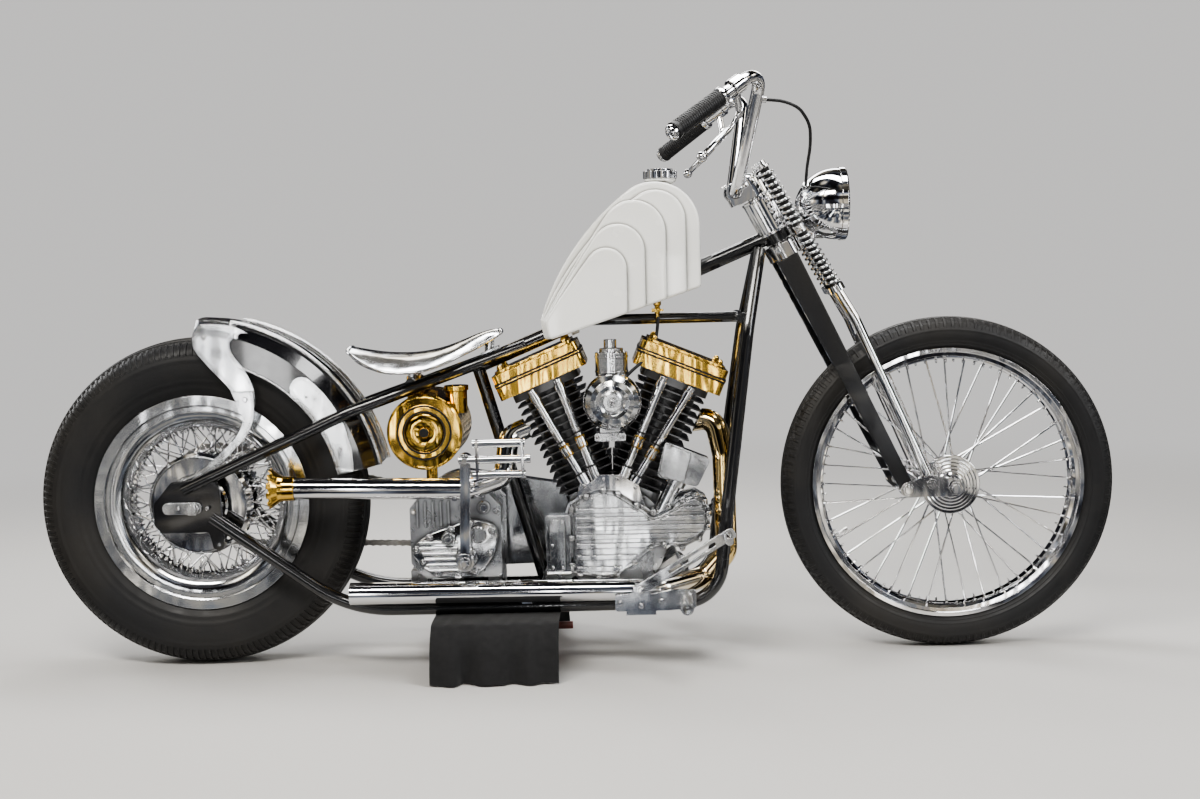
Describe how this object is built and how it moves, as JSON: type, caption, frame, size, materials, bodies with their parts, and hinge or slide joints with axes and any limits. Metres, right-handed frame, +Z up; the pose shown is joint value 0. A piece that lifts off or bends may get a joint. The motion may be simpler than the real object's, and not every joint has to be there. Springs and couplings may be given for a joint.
{
  "type": "chopper motorcycle",
  "caption": "Rigid-frame chopper motorcycle with a sprung girder-type fork, tall tank, sheet seat and V-twin engine, resting on a cloth-covered scissor jack.",
  "frame": {"origin": "on the floor, midway between the foremost and rearmost points of the tyres", "axes": "+X forward, +Y to the rider's left, +Z up"},
  "size_m": [2.2378, 0.7528, 1.1768],
  "materials": {
    "frame_black": "gloss",
    "fender_black": "gloss",
    "tank_white": "gloss",
    "chrome": "mirror",
    "polished": "polished",
    "case_metal": "satin",
    "cylinder_black": "matte",
    "brass": "polished",
    "chain_steel": "satin",
    "tyre_rubber": "matte",
    "grip_rubber": "matte",
    "lens_glass": "clear",
    "jack_red": "worn",
    "cloth_black": "matte"
  },
  "bodies": {
    "chassis": {"frame_spine": "frame_black", "frame_struts": "frame_black", "frame_downtubes": "frame_black", "frame_cradle": "frame_black", "frame_stays": "frame_black", "axle_plates": "frame_black", "rear_axle": "polished", "tank": "tank_white", "tank_cap": "chrome", "seat": "polished", "rear_fender": "fender_black", "fender_trim": "polished", "oil_tank": "brass", "engine_case": "case_metal", "cam_cover": "polished", "cylinders": "cylinder_black", "rocker_covers": "brass", "pushrod_tubes": "chrome", "carburettor": "chrome", "magneto": "polished", "transmission": "case_metal", "kick_starter": "chrome", "primary_cover": "polished", "rear_chain": "chain_steel", "exhaust_pipes": "chrome", "exhaust_tip": "brass", "forward_controls": "polished", "support_jack": "jack_red", "jack_cover": "cloth_black"},
    "fork": {"fork_yokes": "chrome", "fork_legs": "frame_black", "spring_fork": "chrome", "fork_springs": "chrome", "fork_rockers": "chrome", "handlebar": "chrome", "grips": "grip_rubber", "headlight": "chrome", "headlight_lens": "lens_glass", "control_cable": "grip_rubber"},
    "front_wheel": {"front_tyre": "tyre_rubber", "front_rim": "chrome", "front_hub": "chrome"},
    "rear_wheel": {"rear_tyre": "tyre_rubber", "rear_rim": "polished", "rear_hub": "chrome"}
  },
  "joints": [
    {"name": "steering", "type": "hinge", "parent": "chassis", "child": "fork", "pos_m": [0.409, 0, 0.902], "axis": [-0.4617, 0, 0.887], "range_deg": [-25, 25]},
    {"name": "front_wheel_spin", "type": "hinge", "parent": "fork", "child": "front_wheel", "pos_m": [0.774, 0, 0.345], "axis": [0, 1, 0], "continuous": true},
    {"name": "rear_wheel_spin", "type": "hinge", "parent": "chassis", "child": "rear_wheel", "pos_m": [-0.776, 0, 0.343], "axis": [0, 1, 0], "continuous": true}
  ]
}
